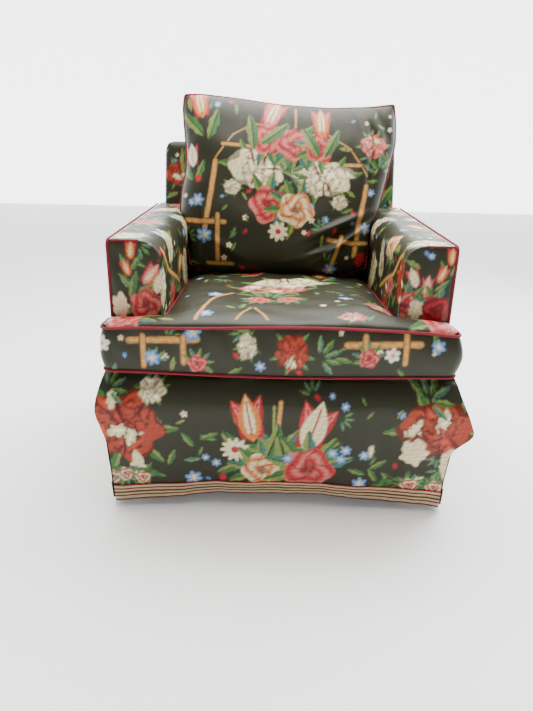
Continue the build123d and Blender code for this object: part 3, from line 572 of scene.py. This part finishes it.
for _ in range(3):
    edge = (np.roll(edge, 1, 0) + 2 * edge + np.roll(edge, -1, 0)) / 4
cord = mesh("back_cushion_welt_visual", [tube(edge, 0.0038, closed=True)], WELT, "back_cushion")
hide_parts("back_cushion_welt")


# ------------------------------------------------------------------ arms
def arm(side, hand, seed):
    """Front face, then one cover over the inside, the round top and the outside."""
    x_in, x_out = 0.277, 0.3915
    r_in, r_out = 0.045, 0.006
    front_y, floor, top = FRONT + 0.088, 0.347, 0.634
    length = 0.632
    lean, climb = 0.083, 0.0629  # of the rear edge from foot to top, and of the top per metre back
    a, t = np.linspace(0, pi / 2, 14), np.linspace(0, 1, 200)[:, None]
    prof = [(x_in, z) for z in np.linspace(floor, top - r_in, 76)]
    prof += [(x_in + r_in * (1 - cos(k)), top - r_in + r_in * sin(k)) for k in a[1:]]
    prof += [(x, top) for x in np.linspace(x_in + r_in, x_out - r_out, 20)[1:]]
    prof += [(x_out - r_out + r_out * sin(k), top - r_out + r_out * cos(k)) for k in a[1:]]
    prof += [(x_out, z) for z in np.linspace(top - r_out, floor, 80)[1:]]
    prof = np.array(prof)
    girth = np.r_[0, np.cumsum(np.linalg.norm(np.diff(prof, axis=0), axis=1))]
    share = ((prof[:, 1] - floor) / (top - floor))[None]
    y = front_y + t * length + t * lean * (share - 1)
    z = prof[None, :, 1] + share * (y - front_y) * climb
    fat = 0.006 * np.sin(pi * t) * (1 - 0.5 * share) + 0.004 * ripple(y, z, seed, 0.25) * np.sin(pi * t)
    order = np.arange(len(prof))[None]
    fullest, inner = order < 84, order < 100  # the inside face, and all up to the middle of the top
    x = prof[None, :, 0] - fat * np.where(fullest, 1.0, 0.35) * np.where(inner, 1, -0.4)
    lip = 0.008 * (1 - np.clip(t / 0.012, 0, 1)) ** 2  # the cover turns in at the front welt
    shell = np.stack([side * (x + np.where(inner, lip, -lip)), y, z - 0.5 * lip], -1)
    rows = np.linspace(0, 1, 98)[:, None]
    cols = np.linspace(0, 1, 42)[None]
    fz = floor + (top - floor) * rows
    drop_in = r_in - np.sqrt(np.maximum(r_in**2 - np.maximum(fz - (top - r_in), 0) ** 2, 0))
    drop_out = r_out - np.sqrt(np.maximum(r_out**2 - np.maximum(fz - (top - r_out), 0) ** 2, 0))
    fx = x_in + drop_in + (x_out - drop_out - x_in - drop_in) * cols
    pad = (1 - abs(2 * cols - 1) ** 4) * (1 - rows**12)
    fy = front_y - 0.009 * pad - 0.003 * ripple(fx, fz, seed + 1, 0.12) * pad
    face = np.stack([side * (fx + 0 * fz), fy + 0 * fx, fz + 0 * fx], -1)
    level = (fz - floor) / (top - floor) + 0 * fx
    cy = front_y + length + lean * (level - 1)
    cap = np.stack([side * (fx + 0 * fz), cy, fz + level * (cy - front_y) * climb], -1)
    f = Print(face[..., 0], face[..., 2], seed)
    f.scatter(side * 33.5 - 7, side * 33.5 + 7, 45, 63, 6)
    if side < 0:
        f.tulip(-34, 61, 4.5, 1.5)
        f.tulip(-35, 57, 4.0, 1.9)
        f.tulip(-30, 55.5, 6, 0.9, RED, PINK)
        f.tulip(-28, 53.5, 5.5, 1.3, ORANGE, CREAM)
        f.rose(-31, 49, 7)
        f.blob(-37, 48.5, 4, 6, CREAM)
    else:
        f.tulip(38, 61, 4.5, 1.5)
        f.tulip(36, 57, 4.5, 1.2)
        f.tulip(30, 56, 5, 1.9, RED, CREAM)
        f.tulip(33, 54, 5.5, 1.5, DARKRED, PINK)
        f.rose(28.5, 50, 6.5)
        f.rose(35.5, 49, 7, DARKRED, RED)
        f.blob(31, 49, 3, 5, CREAM)
    g = Print(np.broadcast_to(girth[None], y.shape), y - front_y, seed + 2)
    g.bouquets(0, 74, 0, 62, 15)
    g.stick([(26, 4), (20, 10), (14, 24)], 1.0)
    g.mass(16, 34, 9, 7, CREAM)
    c = Print(cap[..., 0], cap[..., 2], seed)
    piece = mesh(f"arm_{hand}_visual", [shell, face, cap], CHINTZ, "chair", [g, f, c])
    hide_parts(f"arm_cover_{hand}", f"arm_padding_{hand}")
    rim = np.concatenate([face[:, -1], face[-1, ::-1]])
    rim[:, 1] -= 0.0005
    line = mesh(f"arm_front_welt_{hand}_visual", [tube(rim, 0.0024)], WELT, "chair")
    dress(f"arm_welt_{hand}", WELT)


arm(-1, "left", 41)
arm(1, "right", 51)

# ------------------------------------------------------------------ back
half, tall, deep = 0.374, 0.545, 0.095
u, v = np.meshgrid(np.linspace(-1, 1, 190), np.linspace(0, 1, 140))


def slab(u, v, depth):
    """Points of the raked back at a share across, a share up and a depth behind its front face."""
    x, length = rounded(u * half, v * tall, half, -0.3, tall, 0.032)
    y = FOOT_Y + length * sin(RAKE) + depth * cos(RAKE)
    return np.stack([x, y, FOOT_Z + length * cos(RAKE) - depth * sin(RAKE)], -1)


rim = np.minimum(half - abs(u * half), tall - v * tall)
face = slab(u, v, 0.018 * (1 - np.sqrt(1 - (1 - np.clip(rim / 0.03, 0, 1)) ** 2)) - 0.001)
rear = slab(u, v, deep + 0.003 * np.clip(rim / 0.05, 0, 1))
loop_u = np.r_[-np.ones(110), np.linspace(-1, 1, 170), np.ones(110)]
loop_v = np.r_[np.linspace(0, 1, 110), np.ones(170), np.linspace(1, 0, 110)]
rows = 26
bands = slab(np.tile(loop_u, (rows, 1)), np.tile(loop_v, (rows, 1)), np.linspace(0.017, deep, rows)[:, None])
paints = []
for g, s in ((face, 61), (rear, 62)):
    p = Print(g[..., 0], v * tall, s)
    p.bouquets(-38, 38, 0, 55)
    paints.append(p)
p = Print(*np.meshgrid(np.linspace(0, 1.75, len(loop_u)), np.linspace(0, 0.08, rows)), 63)
p.bouquets(0, 175, 0, 8, 11)
paints.append(p)
piece = mesh("back_visual", [face, rear, bands], CHINTZ, "chair", paints)
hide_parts("back_cover", "back_padding")
dress("back_welt", WELT)


# ------------------------------------------------------------------ skirt
BACK_Y = 0.2865
BAND = 0.047  # width of the hem band
HEM = 0.015
SLIT_TOP = 0.17


def below_slit(z):
    """1 where the corner slits are open, 0 above them."""
    return 1 - smooth((z - SLIT_TOP) / 0.05)


def left_edge(z):
    return curve(z, (0.0, -0.398), (0.1, -0.400), (0.19, -0.404), (0.22, -0.410),
                 (0.25, -0.421), (0.28, -0.419), (0.31, -0.412), (0.36, -0.398))


def right_edge(z):
    return curve(z, (0.0, 0.405), (0.1, 0.405), (0.17, 0.410), (0.195, 0.430),
                 (0.215, 0.456), (0.26, 0.438), (0.30, 0.419), (0.36, 0.400))


def front_y(x, z):
    """Depth of the skirt's front: it rolls in under the cushion and drifts back at the hem."""
    base = curve(z, (0.0, -0.002), (0.08, -0.008), (0.2, -0.013), (0.27, -0.014), (0.295, -0.007),
                 (0.315, 0.006), (0.33, 0.018), (0.343, 0.029), (0.3465, 0.05))
    hem = 0.030 * (1 - (x / 0.42) ** 2).clip(0) * (1 - z / 0.30).clip(0) ** 1.6
    fold = 0.0035 * ripple(x, z * 0.35, 71, 0.22) + 0.0016 * ripple(x, z * 0.8, 72, 0.09)
    fold = fold * (1 - z / 0.4).clip(0)
    creases = bump(x, z, -0.37, 0.24, 0.02, 0.09, 0.5) + bump(x, z, 0.37, 0.23, 0.02, 0.09, -0.5)
    return FRONT + base + hem + fold - 0.006 * creases


def front_grid(z0, z1, rows, cols, proud=0.0):
    u, v = np.meshgrid(np.linspace(0, 1, cols), np.linspace(0, 1, rows))
    z = z0 + (z1 - z0) * v
    slit = 0.007 * below_slit(z)
    x = left_edge(z) + slit + (right_edge(z) - left_edge(z) - 2 * slit) * u
    lift = 0.018 * (1 - (x / 0.4) ** 2).clip(0) * (1 - z / 0.1).clip(0)
    return np.stack([x, front_y(x, z) - proud, z + lift], -1)


def side_grid(side, z0, z1, rows, cols, proud=0.0):
    u, v = np.meshgrid(np.linspace(0, 1, cols), np.linspace(0, 1, rows))
    z = z0 + (z1 - z0) * v
    edge_x = left_edge(z) if side < 0 else right_edge(z)
    start = front_y(edge_x, z) + 0.010 * below_slit(z)
    y = start + (BACK_Y - start) * u
    settle = np.exp(-((y - start) / 0.05) ** 2)
    x = side * (0.4035 + 0.004 * ripple(y, z * 0.4, 80 + side, 0.2) * (1 - z / 0.4))
    x = x * (1 - settle) + edge_x * settle
    x = x - side * 0.011 * smooth((z - 0.322) / 0.026) * smooth((y + 0.34) / 0.03)
    return np.stack([x + side * proud, y, z], -1)


def back_grid(z0, z1, rows, cols, proud=0.0):
    u, v = np.meshgrid(np.linspace(-1, 1, cols), np.linspace(0, 1, rows))
    z = z0 + (z1 - z0) * v
    x = u * 0.4
    return np.stack([x, BACK_Y + 0.002 + 0.003 * ripple(x, z * 0.4, 91, 0.2) + proud, z], -1)


front_panel = front_grid(HEM, 0.3465, 112, 275)
p = Print(front_panel[..., 0], front_panel[..., 2], 101)
p.scatter(-40, 41, 7, 31, 52)
p.mass(-35, 22, 16, 17, RUSSET)
p.mass(-29, 31, 6, 5, CREAM)
p.blob(-33, 11, 3.5, 9, CREAM)
p.blob(-38, 29, 2, 4, CREAM)
p.mass(-35, 9.5, 13, 4, GREEN)
for x, y in ((-39, 8.5), (-36, 9.5), (-32, 8.5)):
    p.rose(x, y, 3.6, RED, CREAM)
p.spray(-39, 31, 6, 0.5, 5)
p.mass(36.5, 23, 17, 13, RUSSET)
p.blob(32, 17, 6, 7, CREAM)
p.blob(40, 14, 3, 9, CREAM)
p.mass(33, 7.5, 17, 5, GREEN)
p.rose(32, 7.5, 4, RED, CREAM)
p.rose(38, 7, 4, RED, CREAM)
p.spray(34, 30, 8, 0.8, 6)
p.stick([(0.5, 29), (0, 22), (0.5, 15)], 0.9)
p.stick([(-1, 28), (-1, 20)], 0.5, LIGHT)
for x, y, s, t in ((-16, 20, 5, 0.4), (-21, 19, 5, 2.2), (-25, 14, 5, 1.2), (-11, 11, 8, 0.5),
                   (-4, 15, 5, 2.4), (1, 18, 5, 1.2), (2, 8, 5, 0.3), (19, 11, 5, 2.8),
                   (24, 13, 5, 0.6), (23, 10, 5, 2.1)):
    p.leaf(x, y, s, t)
p.spray(0, 15, 12, 1.57, 7)
p.tulip(-6.5, 23.5, 12.5, 1.75, RED, ORANGE)
p.tulip(8, 21.5, 14, 1.3, RED, CREAM)
p.daisy(-10, 16.5, 7, CREAM, RED, 11)
p.rose(-3.5, 10.5, 9.5, ORANGE, CREAM)
p.rose(7.5, 11, 12, RED, PINK)
for x, y, s in ((-20, 8, 4.5), (-17, 14, 2.2), (-14.5, 12.5, 2.6), (2.5, 14, 3), (13, 16, 3),
                (16, 17, 3), (15, 14.5, 3)):
    p.daisy(x, y, s)
p.daisy(20, 7.5, 4, BLUE, CREAM)
p.blob(-13, 8, 1.6, 2.4, RED)
p.blob(22, 17, 1.2, 3, CREAM)
panels = [("front", front_panel, p)]
for side, hand in ((-1, "left"), (1, "right")):
    g = side_grid(side, HEM, 0.348, 100, 200)
    q = Print(g[..., 1], g[..., 2], 105 + side)
    q.bouquets(-42, 29, 5, 34)
    panels.append((hand, g, q))
g = back_grid(HEM, 0.342, 90, 220)
q = Print(g[..., 0], g[..., 2], 108)
q.bouquets(-40, 40, 5, 34)
panels.append(("back", g, q))


def stripes(v, u, seed):
    """Ticking: a pale ground with three dark stripes between dark and red edges."""
    p = Print(u, v, seed)
    share = v.ravel() / BAND
    p.rgb[:] = linear("b9a883") * (1 + 0.10 * ripple(u.ravel(), v.ravel(), seed, 0.02)[:, None])
    for at, wide, colour in ((0.30, 0.045, DARKRED), (0.52, 0.06, BROWN), (0.74, 0.045, DARKRED),
                             (0.03, 0.06, DARKRED), (0.97, 0.05, RED * 0.8)):
        cover = np.clip((wide - abs(share - at)) / 0.02 + 0.5, 0, 1)[:, None]
        p.rgb = p.rgb * (1 - cover) + colour * 0.9 * cover
    return p


bend = np.array([(0.340, 0.0), (0.370, 0.0), (0.388, 0.002), (0.394, 0.010), (0.395, 0.035), (0.395, 0.065)])
out, inward = bend[None, :, 0], bend[None, :, 1]  # a corner in plan, seen behind its slit
z = np.linspace(0.022, 0.215, 24)[:, None] + 0 * out
corners = []
for side in (-1, 1):
    for y0, turn in ((FRONT + 0.010, 1), (BACK_Y - 0.010, -1)):
        corners.append(np.stack([side * out + 0 * z, y0 + turn * inward + 0 * z, z], -1))
# Painted shade: the inserts wear the near-black lining so that the skirt's corner slits look dark.
inserts = mesh("pleat_inserts_visual", corners, DARK_LINING_AND_SLIT_SHADE, "chair")
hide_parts("pleat_inserts")

rows = 48
for hand, g, paint in panels:
    if hand == "front":
        strip = front_grid(HEM - 0.0005, HEM + BAND, rows, 220, 0.0022)
    elif hand == "back":
        strip = back_grid(HEM - 0.0005, HEM + BAND, rows, 160, 0.0022)
    else:
        strip = side_grid(-1 if hand == "left" else 1, HEM - 0.0005, HEM + BAND, rows, 160, 0.0022)
    v = np.linspace(0, BAND, rows)[:, None] + 0 * strip[..., 0]
    across = strip[..., 0] if hand in ("front", "back") else strip[..., 1]
    band = mesh(f"skirt_band_{hand}_visual", [strip], TICKING, "chair", [stripes(v, across, 120)])
    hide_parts(f"skirt_band_{hand}")
    panel = mesh(f"skirt_{hand}_visual", [g], CHINTZ, "chair", [paint])
    nodes = [f"skirt_{hand}"] + (["corner_folds", "front_edge_roll"] if hand == "front" else [])
    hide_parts(*nodes)

for name in ("dust_cover", "deck_cover", "seat_insulator"):
    dress(name, DARK_LINING_AND_SLIT_SHADE)
for name in ("seat_zipper_tape", "back_cushion_zipper_tape", "skirt_headers"):
    dress(name, cloth(f"{name}_cloth", GROUND))

# ------------------------------------------------------------------ light, floor and camera
scene = bpy.context.scene


def plane(name, place, turn, finish, sockets):
    """A 60 m square with a material of its own, whose shader sockets are set by name."""
    bpy.ops.mesh.primitive_plane_add(size=60, location=place, rotation=(turn, 0, 0))
    made = bpy.context.object
    made.name = name
    material = bpy.data.materials.new(finish)
    material.use_nodes = True
    for socket, value in sockets.items():
        material.node_tree.nodes["Principled BSDF"].inputs[socket].default_value = value
    made.data.materials.append(material)
    return made


floor = plane("floor", (0, 0, 0), 0, "white", {
    "Base Color": (0.95, 0.95, 0.95, 1), "Roughness": 0.95,
    "Emission Color": (1.0, 1.0, 1.0, 1), "Emission Strength": 0.12})
wall = plane("wall", (0, 9, 0), radians(90), "glow", {
    "Emission Color": (0.95, 0.98, 1.0, 1), "Emission Strength": 4.0})
world = bpy.data.worlds.new("studio")
world.use_nodes = True
background = world.node_tree.nodes["Background"]
background.inputs["Color"].default_value = (1.0, 0.98, 0.95, 1)
background.inputs["Strength"].default_value = 0.36
scene.world = world


def lamp(name, place, aim, size, power, colour):
    """A soft square lamp that looks from its place to its aim."""
    data = bpy.data.lights.new(name, "AREA")
    data.size, data.energy, data.color = size, power, colour
    obj = bpy.data.objects.new(name, data)
    obj.location = place
    obj.rotation_euler = (Vector(aim) - Vector(place)).to_track_quat("-Z", "Y").to_euler()
    scene.collection.objects.link(obj)


lamp("overhead", (0.1, 0.15, 2.7), (0, -0.1, 0.3), 2.2, 150, (1.0, 0.98, 0.93))
lamp("window", (1.8, 1.5, 2.0), (0, 0, 0.6), 1.4, 60, (0.80, 0.89, 1.0))

data = bpy.data.cameras.new("camera")
data.sensor_width = 36
data.lens = 27.55
camera = bpy.data.objects.new("camera", data)
EYE = (-0.0305, -1.1388 + FRONT, 0.8018)
tilt, roll = Matrix.Rotation(radians(90 - 19.44), 4, "X"), Matrix.Rotation(radians(1.25), 4, "Z")
camera.matrix_world = Matrix.Translation(EYE) @ tilt @ roll
scene.collection.objects.link(camera)
scene.camera = camera
